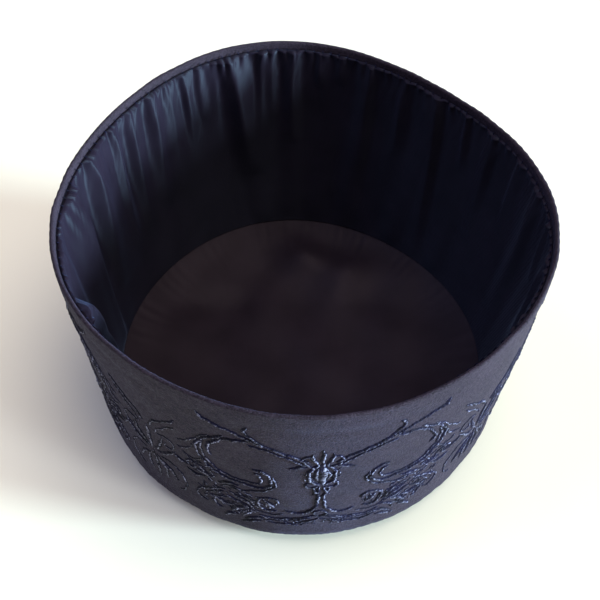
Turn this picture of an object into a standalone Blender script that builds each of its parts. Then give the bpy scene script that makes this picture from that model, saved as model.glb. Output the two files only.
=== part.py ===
# A skufia, a soft brimless cap, resting on its crown with the opening up.
# The outer cloth is a stiffened side band with a turned-in hem, sewn to a flat crown.
# Inside it hangs a gathered satin lining: a side piece with folds, and a round piece over the crown.
# Metres, +Z up, with the front of the cap at -Y.
# The crown lies at z = 0, and the origin is under the middle of the rim.

import bmesh
import bpy
from math import cos, exp, pi, radians, sin
from mathutils import Vector

MM = 0.001

# Outer size of the cap
CAP_HEIGHT = 101.5 * MM
RIM_HALF_WIDTH = 93.0 * MM
RIM_HALF_LENGTH = 95.8 * MM
CROWN_HALF_WIDTH = 82.9 * MM
CROWN_HALF_LENGTH = 85.4 * MM
CORNER_RADIUS = 12.2 * MM

# Cloth thicknesses and the small gaps between sewn pieces
BAND_WALL = 1.8 * MM
HEM_WALL = 2.6 * MM
CROWN_WALL = 1.8 * MM
LINING_WALL = 1.0 * MM
SEAM_GAP = 0.35 * MM

# Hem and seams
HEM_DEPTH = 9.0 * MM
HEM_STEP = 0.6 * MM
LINING_TOP_BELOW_RIM = 3.8 * MM
CROWN_SEAM_ANGLE = radians(52)
LINING_SEAM_INSET = 7.0 * MM
LINING_SEAM_HEIGHT = 6.4 * MM
LINING_FOOT_RISE = 5.0 * MM

# The relaxed cloth stands a little out of round: each row adds a wave of the plan radius.
# The rim also stands a little to one side of the crown.
RIM_OUT_OF_ROUND = (
    {"waves": 2, "cos_share": 0.000, "sin_share": -0.021},
    {"waves": 3, "cos_share": 0.012, "sin_share": -0.016},
    {"waves": 4, "cos_share": 0.013, "sin_share": 0.008},
)
CROWN_OUT_OF_ROUND_SHARE = 0.4
RIM_SHIFT = (0.7 * MM, 0.4 * MM)

# Folds of the lining that show: where each starts at the hem, how wide and deep it is,
# how far down it runs, and how far its foot has wandered along the wall.
SEEN_FOLDS = (
    {"angle_deg": 79.0, "width_mm": 3.5, "depth_mm": 2.2, "drop_mm": 16, "wander_mm": 0.0},
    {"angle_deg": 84.5, "width_mm": 3.4, "depth_mm": 2.2, "drop_mm": 14, "wander_mm": 1.0},
    {"angle_deg": 91.3, "width_mm": 3.6, "depth_mm": 3.8, "drop_mm": 36, "wander_mm": 0.0},
    {"angle_deg": 98.0, "width_mm": 3.6, "depth_mm": 2.2, "drop_mm": 14, "wander_mm": -1.0},
    {"angle_deg": 105.5, "width_mm": 6.0, "depth_mm": 5.0, "drop_mm": 48, "wander_mm": -4.0},
    {"angle_deg": 113.5, "width_mm": 3.4, "depth_mm": 2.6, "drop_mm": 16, "wander_mm": 1.0},
    {"angle_deg": 118.0, "width_mm": 3.4, "depth_mm": 3.0, "drop_mm": 22, "wander_mm": 0.5},
    {"angle_deg": 123.0, "width_mm": 3.8, "depth_mm": 3.2, "drop_mm": 26, "wander_mm": -0.5},
    {"angle_deg": 131.0, "width_mm": 4.2, "depth_mm": 5.4, "drop_mm": 62, "wander_mm": 2.0},
    {"angle_deg": 138.5, "width_mm": 5.0, "depth_mm": 3.2, "drop_mm": 42, "wander_mm": 1.0},
    {"angle_deg": 146.5, "width_mm": 6.5, "depth_mm": 4.8, "drop_mm": 68, "wander_mm": 3.0},
    {"angle_deg": 154.0, "width_mm": 4.5, "depth_mm": 3.4, "drop_mm": 46, "wander_mm": -1.0},
    {"angle_deg": 165.5, "width_mm": 9.0, "depth_mm": 5.6, "drop_mm": 76, "wander_mm": 4.0},
    {"angle_deg": 175.0, "width_mm": 5.0, "depth_mm": 3.2, "drop_mm": 42, "wander_mm": 2.0},
    {"angle_deg": 184.0, "width_mm": 7.0, "depth_mm": 5.0, "drop_mm": 64, "wander_mm": 3.0},
)
# The rest of the lining is gathered in the same way, with folds at an even spacing.
EVEN_FOLDS_FROM_DEG = 193.0
EVEN_FOLDS_TO_DEG = 433.0
EVEN_FOLD_COUNT = 22
EVEN_FOLD_SIZES = (
    {"width_mm": 5.0, "depth_mm": 3.6, "drop_mm": 42, "wander_mm": 2.0},
    {"width_mm": 3.8, "depth_mm": 2.6, "drop_mm": 24, "wander_mm": -1.0},
    {"width_mm": 7.0, "depth_mm": 4.8, "drop_mm": 62, "wander_mm": -3.0},
    {"width_mm": 4.4, "depth_mm": 3.0, "drop_mm": 32, "wander_mm": 1.5},
)

# A fold starts at this share of its depth, and is full this far below the stitches.
# Its foot is wider than its start, and it fades out faster near the foot.
FOLD_START_SHARE = 0.35
FOLD_SWELL_DROP = 6 * MM
FOLD_START_WIDTH = 0.75
FOLD_FOOT_WIDTH = 1.25
FOLD_FADE_POWER = 0.7

# Swells and a dimple of the loose round piece, each a smooth hump along a short line.
FLOOR_HUMPS = (
    {"from_mm": (-12, 74), "to_mm": (1, 58), "width_mm": 9, "height_mm": 3.0},
    {"from_mm": (1, 58), "to_mm": (18, 49), "width_mm": 10, "height_mm": 3.0},
    {"from_mm": (18, 49), "to_mm": (44, 47), "width_mm": 11, "height_mm": 2.6},
    {"from_mm": (-54, 32), "to_mm": (-29, 32), "width_mm": 8, "height_mm": -1.2},
    {"from_mm": (-60, 4), "to_mm": (-42, -40), "width_mm": 18, "height_mm": 1.6},
    {"from_mm": (16, -50), "to_mm": (52, -24), "width_mm": 16, "height_mm": 1.8},
)
FLOOR_LOOSE_LIFT = 1.2 * MM
FLOOR_EDGE_POWER = 8

# Facets
BAND_SEGMENTS = 76
BAND_ROWS = (0.34, 0.56, 0.78)
CORNER_STEPS = 3
HEM_FOLD_STEPS = 6
CROWN_SEGMENTS = 80
LINING_SEGMENTS = 128
LINING_FOLD_ROWS = 9
LINING_ROW_SPREAD = 1.4
FLOOR_SEGMENTS = 50
FLOOR_RINGS = 8

CLOTH_COLOUR = (0.030, 0.028, 0.036, 1)
SATIN_COLOUR = (0.012, 0.014, 0.024, 1)
SATIN_SHADE_COLOUR = (0.016, 0.012, 0.016, 1)
CLOTH_ROUGHNESS = 0.85
SATIN_ROUGHNESS = 0.38


def clear_scene():
    for old in list(bpy.data.objects):
        bpy.data.objects.remove(old)


def cloth_material(name, colour, roughness):
    material = bpy.data.materials.new(name)
    material.use_nodes = True
    shader = material.node_tree.nodes["Principled BSDF"]
    shader.inputs["Base Color"].default_value = colour
    shader.inputs["Roughness"].default_value = roughness
    shader.inputs["Metallic"].default_value = 0.0
    return material


def oval(angle, half_width, half_length, share):
    """A point of an oval plan, pushed out of round by this share of the rim's waves."""
    push = 1.0
    for wave in RIM_OUT_OF_ROUND:
        turn = wave["waves"] * angle
        push += share * (wave["cos_share"] * cos(turn) + wave["sin_share"] * sin(turn))
    return Vector((half_width * push * cos(angle), half_length * push * sin(angle)))


def rim_point(angle):
    return oval(angle, RIM_HALF_WIDTH, RIM_HALF_LENGTH, 1.0) + Vector(RIM_SHIFT)


def crown_point(angle):
    return oval(angle, CROWN_HALF_WIDTH, CROWN_HALF_LENGTH, CROWN_OUT_OF_ROUND_SHARE)


def rim_centre():
    """Middle of the rim's bounding rectangle, which becomes the cap's own axis."""
    rim = [rim_point(2 * pi * i / 720) for i in range(720)]
    xs = [point.x for point in rim]
    ys = [point.y for point in rim]
    return Vector(((min(xs) + max(xs)) / 2, (min(ys) + max(ys)) / 2))


CAP_AXIS = rim_centre()


def outline(angle, height):
    """Outer plan of the cap at a height: the side leans out straight from the rounding to the rim."""
    up = max(0.0, (height - CORNER_RADIUS) / (CAP_HEIGHT - CORNER_RADIUS))
    return crown_point(angle).lerp(rim_point(angle), up) - CAP_AXIS


def wall_point(angle, inset, height):
    """A point this far inside the outer plan, square to it."""
    step = radians(0.5)
    along = outline(angle + step, height) - outline(angle - step, height)
    inward = Vector((-along.y, along.x)).normalized()
    plan = outline(angle, height) + inward * inset
    return Vector((plan.x, plan.y, height))


def corner_arc(radius, from_angle, to_angle):
    """Insets and heights along the rounding between the side and the crown.
    Angle 0 is where it leaves the side, and a quarter turn is where it meets the flat."""
    arc = []
    for i in range(CORNER_STEPS + 1):
        turn = from_angle + (to_angle - from_angle) * i / CORNER_STEPS
        arc.append((CORNER_RADIUS - radius * cos(turn), CORNER_RADIUS - radius * sin(turn)))
    return arc


def loft(name, points_at, segments, material, closed_section=False):
    """Carries a row of points round the cap. points_at gives the row at an angle.
    A row that runs down the wall gives faces that look at the cap's axis. One that runs
    to the middle of the floor gives faces that look up, and one that runs out from it, down."""
    mesh = bmesh.new()
    columns = []
    for i in range(segments):
        columns.append([mesh.verts.new(point) for point in points_at(2 * pi * i / segments)])
    count = len(columns[0])
    for i, column in enumerate(columns):
        beside = columns[(i + 1) % segments]
        for j in range(count if closed_section else count - 1):
            k = (j + 1) % count
            mesh.faces.new((column[j], beside[j], beside[k], column[k]))
    bmesh.ops.remove_doubles(mesh, verts=mesh.verts, dist=1e-6)
    data = bpy.data.meshes.new(name)
    mesh.to_mesh(data)
    mesh.free()
    data.shade_smooth()
    data.set_sharp_from_angle(angle=radians(40))
    data.materials.append(material)
    return bpy.data.objects.new(name, data)


def thicken(piece, wall):
    """Gives an open surface this wall, behind the face that shows."""
    solidify = piece.modifiers.new("wall", "SOLIDIFY")
    solidify.thickness = wall
    solidify.offset = -1.0
    return piece


def side_band(material):
    """The outer cloth: up the side, over the rim and down inside it as a turned hem."""
    seam = CROWN_SEAM_ANGLE - SEAM_GAP / 2 / CORNER_RADIUS
    lip = HEM_WALL / 2
    outside = corner_arc(CORNER_RADIUS, seam, 0.0)
    outside += [(0.0, CAP_HEIGHT * share) for share in BAND_ROWS]
    rim = []
    for i in range(HEM_FOLD_STEPS + 1):
        turn = pi * i / HEM_FOLD_STEPS
        rim.append((lip - lip * cos(turn), CAP_HEIGHT - lip + lip * sin(turn)))
    hem = [
        (HEM_WALL, CAP_HEIGHT - HEM_DEPTH),
        (BAND_WALL, CAP_HEIGHT - HEM_DEPTH - HEM_STEP),
    ]
    inside = [(BAND_WALL, CAP_HEIGHT * share) for share in reversed(BAND_ROWS)]
    inside += corner_arc(CORNER_RADIUS - BAND_WALL, 0.0, seam)
    section = outside + rim + hem + inside

    def points_at(angle):
        return [wall_point(angle, inset, height) for inset, height in section]

    return loft("side_band", points_at, BAND_SEGMENTS, material, closed_section=True)


def crown(material):
    """The round top of the cap, flat where it rests, with its edge turned up to the seam."""
    seam = CROWN_SEAM_ANGLE + SEAM_GAP / 2 / CORNER_RADIUS
    edge = corner_arc(CORNER_RADIUS, pi / 2, seam)

    def points_at(angle):
        return [Vector((0, 0, 0))] + [wall_point(angle, inset, height) for inset, height in edge]

    return thicken(loft("crown", points_at, CROWN_SEGMENTS, material), CROWN_WALL)


def all_folds():
    """The folds that show, and the even ones that go on round the rest of the wall."""
    folds = list(SEEN_FOLDS)
    span = EVEN_FOLDS_TO_DEG - EVEN_FOLDS_FROM_DEG
    for i in range(EVEN_FOLD_COUNT):
        size = EVEN_FOLD_SIZES[i % len(EVEN_FOLD_SIZES)]
        angle_deg = EVEN_FOLDS_FROM_DEG + span * (i + 0.5) / EVEN_FOLD_COUNT
        folds.append({"angle_deg": angle_deg, **size})
    return folds


FOLDS = all_folds()
MEAN_RADIUS = (RIM_HALF_WIDTH + RIM_HALF_LENGTH + CROWN_HALF_WIDTH + CROWN_HALF_LENGTH) / 4


def fold_depth(angle, height):
    """How far the gathered lining stands off the wall here: the folds' humps added up.
    A fold starts shallow at the stitches, swells just below them, then widens and fades."""
    below_stitches = CAP_HEIGHT - LINING_TOP_BELOW_RIM - height
    swell = FOLD_START_SHARE + (1 - FOLD_START_SHARE) * min(1.0, below_stitches / FOLD_SWELL_DROP)
    depth = 0.0
    for fold in FOLDS:
        run = below_stitches / (fold["drop_mm"] * MM)
        if run >= 1.0:
            continue
        middle = radians(fold["angle_deg"]) + fold["wander_mm"] * MM * run / MEAN_RADIUS
        turn = (angle - middle + pi) % (2 * pi) - pi
        spread = FOLD_START_WIDTH + (FOLD_FOOT_WIDTH - FOLD_START_WIDTH) * run
        across = turn * MEAN_RADIUS / (fold["width_mm"] * MM * spread)
        fade = (1 - run) ** FOLD_FADE_POWER
        depth += fold["depth_mm"] * MM * swell * fade * exp(-across * across)
    return depth


def side_lining(material):
    """The gathered satin wall, from the stitches on the hem down to the round piece's seam."""
    top = CAP_HEIGHT - LINING_TOP_BELOW_RIM
    flat_inset = HEM_WALL + SEAM_GAP + LINING_WALL
    foot_start = LINING_SEAM_HEIGHT + LINING_FOOT_RISE

    def points_at(angle):
        rows = []
        for i in range(LINING_FOLD_ROWS):
            height = top - (top - foot_start) * (i / (LINING_FOLD_ROWS - 1)) ** LINING_ROW_SPREAD
            rows.append(wall_point(angle, flat_inset + fold_depth(angle, height), height))
        bend_height = LINING_SEAM_HEIGHT + LINING_FOOT_RISE / 3
        rows.append(wall_point(angle, (flat_inset + LINING_SEAM_INSET) / 2, bend_height))
        rows.append(wall_point(angle, LINING_SEAM_INSET, LINING_SEAM_HEIGHT))
        return rows

    return thicken(loft("side_lining", points_at, LINING_SEGMENTS, material), LINING_WALL)


def floor_relief(spot):
    """How high the loose round piece stands off the crown at a spot: its humps added up."""
    height = FLOOR_LOOSE_LIFT
    for hump in FLOOR_HUMPS:
        start = Vector(hump["from_mm"]) * MM
        run = Vector(hump["to_mm"]) * MM - start
        along = max(0.0, min(1.0, (spot - start).dot(run) / run.length_squared))
        away = (spot - start - run * along).length / (hump["width_mm"] * MM)
        height += hump["height_mm"] * MM * exp(-away * away)
    return height


def crown_lining(material):
    """The round satin piece, lying loose on the crown, its edge turned up to the lining's seam."""
    flat_height = CROWN_WALL + SEAM_GAP + LINING_WALL
    edge_inset = LINING_SEAM_INSET + SEAM_GAP
    edge_height = LINING_SEAM_HEIGHT - SEAM_GAP

    def points_at(angle):
        edge = wall_point(angle, edge_inset, edge_height)
        rows = []
        for ring in range(FLOOR_RINGS, -1, -1):
            share = ring / FLOOR_RINGS
            spot = edge.xy * share
            loose = flat_height + floor_relief(spot)
            rise = share ** FLOOR_EDGE_POWER
            rows.append(Vector((*spot, loose * (1 - rise) + edge_height * rise)))
        return rows

    return thicken(loft("crown_lining", points_at, FLOOR_SEGMENTS, material), LINING_WALL)


def build():
    clear_scene()
    parts = bpy.data.collections.new("skufia")
    bpy.context.scene.collection.children.link(parts)
    cap = bpy.data.objects.new("cap_axis", None)
    parts.objects.link(cap)
    for piece in (
        side_band(cloth_material("side_band_cloth", CLOTH_COLOUR, CLOTH_ROUGHNESS)),
        crown(cloth_material("crown_cloth", CLOTH_COLOUR, CLOTH_ROUGHNESS)),
        side_lining(cloth_material("side_lining_satin", SATIN_COLOUR, SATIN_ROUGHNESS)),
        crown_lining(cloth_material("crown_lining_satin", SATIN_SHADE_COLOUR, SATIN_ROUGHNESS)),
    ):
        parts.objects.link(piece)
        piece.parent = cap


build()
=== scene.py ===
import bpy
import numpy as np
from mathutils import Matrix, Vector


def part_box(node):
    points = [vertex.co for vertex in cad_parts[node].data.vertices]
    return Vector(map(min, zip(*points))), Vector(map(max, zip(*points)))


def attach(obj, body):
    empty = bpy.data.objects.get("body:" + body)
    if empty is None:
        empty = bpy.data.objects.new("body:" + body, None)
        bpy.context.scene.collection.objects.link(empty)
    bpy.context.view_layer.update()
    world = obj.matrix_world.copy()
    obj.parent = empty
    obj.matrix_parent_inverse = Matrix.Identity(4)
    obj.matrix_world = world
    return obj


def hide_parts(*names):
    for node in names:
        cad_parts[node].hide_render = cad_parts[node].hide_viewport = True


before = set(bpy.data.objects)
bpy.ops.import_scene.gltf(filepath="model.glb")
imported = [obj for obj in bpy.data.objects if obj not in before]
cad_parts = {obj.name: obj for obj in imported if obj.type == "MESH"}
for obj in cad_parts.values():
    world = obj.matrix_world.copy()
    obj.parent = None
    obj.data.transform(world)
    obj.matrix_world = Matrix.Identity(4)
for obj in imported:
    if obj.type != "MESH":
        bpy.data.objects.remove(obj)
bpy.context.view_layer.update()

# A skufia lying on its crown, opening up, seen from the front and above.
# Shapes are worked out in millimetres and put into metres when the mesh is made.
# Angles go round the cap from +X; the front is at -90 degrees.

mm = 0.001
turn = 2 * np.pi
frontAngle = -turn / 4
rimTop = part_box("side_band")[1].z / mm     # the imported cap's own height

# The cap's plan and side

capShape = {
    "height": rimTop,
    "rimHalf": (93.0, 95.8),           # half width, half length at the rim
    "crownHalf": (82.9, 85.4),
    "cornerRadius": 12.2,
    "rimShift": (0.7, 0.4),            # the rim stands a little to one side
    "crownWaveShare": 0.4,
    "rimWaves": ((2, 0.000, -0.021), (3, 0.012, -0.016), (4, 0.013, 0.008)),   # waves, cosine, sine
    "arcPerRadian": 88.5,              # mean distance along the wall for one radian
}

sewing = {
    "bandWall": 1.5, "hemWall": 1.8, "hemDepth": 9.0, "hemStep": 0.6,
    "crownWall": 1.8,
    "crownSeamAngle": np.radians(52),      # how far round the rounding the side meets the crown
    "crownSeamGap": 0.35,
    "satinTopBelowRim": 2.9,
    "satinSeamInset": 7.8, "satinSeamHeight": 13.0,    # where the two satin pieces meet
    "stitchPitch": 3.7,
    "gathersAround": (84, 108),            # the crown seam's gathers, fewest and most round the cap
}


def evenRound(count):
    # angles at an even spacing, once round
    return np.linspace(0, turn, count, endpoint=False)


def planOval(angle, half, share):
    # an oval, its radius pushed in and out by a few waves round the cap
    push = 1.0 + sum(share * (c * np.cos(n * angle) + s * np.sin(n * angle))
                     for n, c, s in capShape["rimWaves"])
    return np.stack([half[0] * push * np.cos(angle), half[1] * push * np.sin(angle)], -1)


def rimPlan(angle):
    return planOval(angle, capShape["rimHalf"], 1.0) + np.array(capShape["rimShift"])


rimRound = rimPlan(evenRound(720))
capAxis = (rimRound.min(0) + rimRound.max(0)) / 2


def outline(angle, height):
    # the side leans out straight from the crown's oval, at the top of the rounding, to the rim's
    corner = capShape["cornerRadius"]
    up = np.maximum(0.0, (height - corner) / (capShape["height"] - corner))[..., None]
    crownPlan = planOval(angle, capShape["crownHalf"], capShape["crownWaveShare"])
    return crownPlan * (1 - up) + rimPlan(angle) * up - capAxis


def wallPoint(angle, inset, height, slide=0.0):
    # a point this far inside the outer plan, square to it, and slid this far along it
    angle, inset, height = np.broadcast_arrays(*(np.asarray(v, float) for v in (angle, inset, height)))
    step = np.radians(0.5)
    along = outline(angle + step, height) - outline(angle - step, height)
    along /= np.linalg.norm(along, axis=-1, keepdims=True)
    inward = np.stack([-along[..., 1], along[..., 0]], -1)
    slide = np.broadcast_to(slide, inset.shape)
    plan = outline(angle, height) + inward * inset[..., None] + along * slide[..., None]
    return np.concatenate([plan, height[..., None]], -1)


def ripple(angle, along, seed, waves, count, drift=0.02):
    # a gentle unevenness: the sum of several waves round the cap, each drifting as it runs along
    dice = np.random.default_rng(seed)
    total = 0.0
    for _ in range(count):
        n = dice.integers(waves[0], waves[1] + 1)
        total = total + np.sin(n * angle + dice.normal(0, drift) * n * along + dice.uniform(0, turn))
    return total / np.sqrt(count)


# Mesh makers

def addObject(name, data):
    # a new object in the scene
    thing = bpy.data.objects.new(name, data)
    bpy.context.scene.collection.objects.link(thing)
    return thing


def addMesh(name, points, faces, material, uv=None, relief=None):
    # points in millimetres, faces as rows of corner numbers, uv as one pair for each face corner, in metres;
    # relief is a second such pair, from 0 to 1, that tells the thread material where to paint shade and light
    mesh = bpy.data.meshes.new(name)
    points = np.ascontiguousarray(points, np.float32) * np.float32(mm)
    faces = np.ascontiguousarray(faces, np.int32)
    mesh.vertices.add(len(points))
    mesh.vertices.foreach_set("co", points.ravel())
    mesh.loops.add(faces.size)
    mesh.loops.foreach_set("vertex_index", faces.ravel())
    mesh.polygons.add(len(faces))
    mesh.polygons.foreach_set("loop_start", np.arange(0, faces.size, faces.shape[1], dtype=np.int32))
    mesh.update(calc_edges=True)
    for label, pairs in (("cut", uv), ("relief", relief)):
        if pairs is not None:
            layer = mesh.uv_layers.new(name=label)
            layer.data.foreach_set("uv", np.ascontiguousarray(pairs, np.float32).ravel())
    mesh.validate()
    mesh.shade_smooth()
    mesh.materials.append(material)
    return addObject(name, mesh)


def roundGrid(rows, columns, closeRows=False):
    # a grid whose columns go round and meet; closeRows joins the last row to the first. It returns each
    # face's corner numbers, and the corners' columns and rows counted on past the join
    r = np.arange(rows if closeRows else rows - 1)[:, None]
    c = np.arange(columns)[None, :]
    corners = ((0, 0), (1, 0), (1, 1), (0, 1))
    spots = np.stack([np.stack(np.broadcast_arrays(c + right, r + up), -1) for right, up in corners], -2)
    faces = spots[..., 1] % rows * columns + spots[..., 0] % columns
    return faces.reshape(-1, 4), spots.reshape(-1, 4, 2)


def triangulate(quads, *fans):
    # each four-sided face cut along a diagonal, and then the fans, which are triangles already
    return np.concatenate([quads[:, [0, 1, 2]], quads[:, [0, 2, 3]], *fans])


def tubeFaces(rows, sides):
    # the triangles of a tube, with a fan over each of its ends
    c = np.arange(1, sides - 1)
    start, end = np.stack([0 * c, c + 1, c], -1), np.stack([0 * c, c, c + 1], -1)
    return triangulate(roundGrid(rows, sides)[0], start, end + (rows - 1) * sides)


def aroundUv(spots, angle, runs):
    # the cloth's own coordinates: distance round the cap, and distance along the profile
    around = np.append(angle, turn)[spots[..., 0]] * capShape["arcPerRadian"] * mm
    return np.stack([around, np.append(runs, runs[-1] + 1.0)[spots[..., 1]] * mm], -1)


def lengthAlong(profile):
    # the distance from a profile's first point to each of its points
    return np.concatenate([[0.0], np.cumsum(np.linalg.norm(np.diff(profile, axis=0), axis=1))])


def cornerArc(radius, start, end, steps):
    # insets and heights along the rounding: angle 0 leaves the side, a quarter turn meets the flat
    bend = np.linspace(start, end, steps)
    corner = capShape["cornerRadius"]
    return np.stack([corner - radius * np.cos(bend), corner - radius * np.sin(bend)], -1)


def spread(start, end, steps):
    # even steps from start, without the end itself
    return np.linspace(start, end, steps + 1)[:-1]


# Shader groups and materials

def newGroup(name, inputs, outputs):
    group = bpy.data.node_groups.new(name, "ShaderNodeTree")
    for label, kind, value in inputs:
        socket = group.interface.new_socket(label, in_out="INPUT", socket_type=kind)
        if value is not None:
            socket.default_value = value
    for label, kind in outputs:
        group.interface.new_socket(label, in_out="OUTPUT", socket_type=kind)
    return group, group.nodes.new("NodeGroupInput"), group.nodes.new("NodeGroupOutput")


def mathNode(tree, operation, first, second=None, third=None, clamp=False):
    node = tree.nodes.new("ShaderNodeMath")
    node.operation, node.use_clamp = operation, clamp
    for place, value in enumerate((first, second, third)):
        if value is None:
            continue
        if isinstance(value, (int, float)):
            node.inputs[place].default_value = value
        else:
            tree.links.new(value, node.inputs[place])
    return node.outputs[0]


def makeWeaveGroup():
    # plain weave: two rows of threads at right angles, each over and under the other in turn,
    # with thick and thin places along the threads
    tree, given, out = newGroup(
        "threadWeave",
        [("Vector", "NodeSocketVector", None), ("Pitch mm", "NodeSocketFloat", 0.5),
         ("Slant", "NodeSocketFloat", 0.0), ("Unevenness", "NodeSocketFloat", 0.4)],
        [("Height", "NodeSocketFloat"), ("Streaks", "NodeSocketFloat")])
    split = tree.nodes.new("ShaderNodeSeparateXYZ")
    tree.links.new(given.outputs["Vector"], split.inputs[0])
    perMetre = mathNode(tree, "DIVIDE", np.pi / mm, given.outputs["Pitch mm"])
    slanted = mathNode(tree, "MULTIPLY_ADD", split.outputs["Y"], given.outputs["Slant"], split.outputs["X"])
    across = mathNode(tree, "SINE", mathNode(tree, "MULTIPLY", slanted, perMetre))
    along = mathNode(tree, "SINE", mathNode(tree, "MULTIPLY", split.outputs["Y"], perMetre))
    over = mathNode(tree, "GREATER_THAN", mathNode(tree, "MULTIPLY", across, along), 0.0)
    warp = mathNode(tree, "ABSOLUTE", across)
    weft = mathNode(tree, "ABSOLUTE", along)
    difference = mathNode(tree, "SUBTRACT", warp, weft)
    threads = mathNode(tree, "MULTIPLY_ADD", difference, over, weft)
    slubs = []
    for perMetreEachWay in ((1700, 160, 1), (160, 1700, 1)):
        stretch, noise = tree.nodes.new("ShaderNodeMapping"), tree.nodes.new("ShaderNodeTexNoise")
        stretch.inputs["Scale"].default_value = perMetreEachWay
        noise.inputs["Scale"].default_value = 1.0
        noise.inputs["Detail"].default_value = 3.0
        tree.links.new(given.outputs["Vector"], stretch.inputs["Vector"])
        tree.links.new(stretch.outputs[0], noise.inputs["Vector"])
        slubs.append(noise.outputs[0])
    streaks = mathNode(tree, "MULTIPLY", mathNode(tree, "ADD", *slubs), 0.5)
    uneven = mathNode(tree, "MULTIPLY", mathNode(tree, "SUBTRACT", streaks, 0.5), given.outputs["Unevenness"])
    uneven = mathNode(tree, "MULTIPLY", uneven, 4.0)
    tree.links.new(mathNode(tree, "ADD", threads, uneven), out.inputs["Height"])
    tree.links.new(streaks, out.inputs["Streaks"])
    return tree


def makeMottleGroup():
    # slow and quick changes of shade over a cloth, from handling and the way its nap lies
    tree, given, out = newGroup(
        "clothMottle", [("Vector", "NodeSocketVector", None), ("Patch size mm", "NodeSocketFloat", 20.0)],
        [("Patches", "NodeSocketFloat"), ("Grain", "NodeSocketFloat")])
    scale = mathNode(tree, "DIVIDE", 1 / mm, given.outputs["Patch size mm"])
    patches, grain = tree.nodes.new("ShaderNodeTexNoise"), tree.nodes.new("ShaderNodeTexNoise")
    for node, times, detail in ((patches, 1.0, 4.0), (grain, 14.0, 2.0)):
        tree.links.new(given.outputs["Vector"], node.inputs["Vector"])
        tree.links.new(mathNode(tree, "MULTIPLY", scale, times), node.inputs["Scale"])
        node.inputs["Detail"].default_value = detail
    tree.links.new(patches.outputs[0], out.inputs["Patches"])
    tree.links.new(grain.outputs[0], out.inputs["Grain"])
    return tree


weaveGroup, mottleGroup = makeWeaveGroup(), makeMottleGroup()


class MaterialBench:
    # a material with a Principled shader, and short ways to add and join its nodes
    def __init__(self, name):
        self.material = bpy.data.materials.new(name)
        self.material.use_nodes = True
        self.tree = self.material.node_tree
        self.shader = self.tree.nodes["Principled BSDF"]

    def set(self, **values):
        for label, value in values.items():
            self.shader.inputs[label.replace("_", " ")].default_value = value

    def group(self, group, vector, **values):
        node = self.tree.nodes.new("ShaderNodeGroup")
        node.node_tree = group
        self.tree.links.new(vector, node.inputs["Vector"])
        for label, value in values.items():
            node.inputs[label.replace("_", " ")].default_value = value
        return node.outputs

    def cut(self, layer="cut"):
        node = self.tree.nodes.new("ShaderNodeUVMap")
        node.uv_map = layer
        return node.outputs[0]

    def place(self):
        return self.tree.nodes.new("ShaderNodeTexCoord").outputs["Object"]

    def ramp(self, factor, *stops):
        node = self.tree.nodes.new("ShaderNodeValToRGB")
        while len(node.color_ramp.elements) < len(stops):
            node.color_ramp.elements.new(0.5)
        for element, (position, colour) in zip(node.color_ramp.elements, stops):
            element.position, element.color = position, (*colour, 1) if len(colour) == 3 else colour
        self.tree.links.new(factor, node.inputs[0])
        return node.outputs[0]

    def multiply(self, first, second, factor=1.0):
        node = self.tree.nodes.new("ShaderNodeMix")
        node.data_type, node.blend_type = "RGBA", "MULTIPLY"
        node.inputs["Factor"].default_value = factor
        self.tree.links.new(first, node.inputs["A"])
        self.tree.links.new(second, node.inputs["B"])
        return node.outputs["Result"]

    def bump(self, height, distance, strength=1.0, under=None):
        node = self.tree.nodes.new("ShaderNodeBump")
        node.inputs["Strength"].default_value = strength
        node.inputs["Distance"].default_value = distance * mm
        self.tree.links.new(height, node.inputs["Height"])
        if under is not None:
            self.tree.links.new(under, node.inputs["Normal"])
        return node.outputs[0]

    def feed(self, socket, label):
        self.tree.links.new(socket, self.shader.inputs[label])


outerClothLook = {
    "dark": (0.0088, 0.0060, 0.0097), "light": (0.0305, 0.0217, 0.0335),
    "pitch": 0.44, "weaveDepth": 0.07, "grainDepth": 0.52,
    "fuzzShare": 3.2, "weaveShare": 0.50, "threadOffset": -1.38,     # what lightens a thread, and from where
    "roughness": (0.62, 0.86), "specular": 0.13,
    "sheen": 0.07, "sheenRoughness": 0.38, "sheenTint": (0.42, 0.52, 1.0),
}


def makeOuterCloth():
    # fine, slightly furry weave; threads stand out by height, and the shade drifts from patch to patch
    bench, look = MaterialBench("outer_weave"), outerClothLook
    weave = bench.group(weaveGroup, bench.cut(), Pitch_mm=look["pitch"], Unevenness=0.35)
    mottle = bench.group(mottleGroup, bench.place(), Patch_size_mm=22.0)
    fuzz = bench.group(mottleGroup, bench.place(), Patch_size_mm=9.0)
    woven = mathNode(bench.tree, "MULTIPLY_ADD", weave["Height"], look["weaveShare"], look["threadOffset"])
    threads = mathNode(bench.tree, "MULTIPLY_ADD", fuzz["Grain"], look["fuzzShare"], woven)
    shade = bench.ramp(threads, (0.05, look["dark"]), (0.95, look["light"]))
    patches = bench.ramp(mottle["Patches"], (0.30, (0.72, 0.72, 0.74)), (0.70, (1.0, 1.0, 1.0)))
    bench.feed(bench.multiply(shade, patches), "Base Color")
    low, high = look["roughness"]
    bench.feed(bench.ramp(mottle["Grain"], (0.3, (low,) * 3), (0.7, (high,) * 3)), "Roughness")
    grain = bench.bump(fuzz["Grain"], look["grainDepth"], 0.6)
    bench.feed(bench.bump(weave["Height"], look["weaveDepth"], 0.8, grain), "Normal")
    bench.set(Sheen_Weight=look["sheen"], Sheen_Roughness=look["sheenRoughness"],
              Sheen_Tint=(*look["sheenTint"], 1), Specular_IOR_Level=look["specular"])
    return bench.material


# the thread's colours carry painted light: dark is painted shade where the thread goes into the cloth, light
# is the painted glint specks, and breakUp sets how sharply those painted glints start
threadLook = {
    "dark": (0.0036, 0.0034, 0.0190), "middle": (0.0100, 0.0095, 0.0360), "light": (0.430, 0.450, 0.620),
    "twistPitch": 0.50, "specular": 0.09,
    "breakUp": (6.0, -2.20),       # how sharply the light specks start, and from where
}


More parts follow.
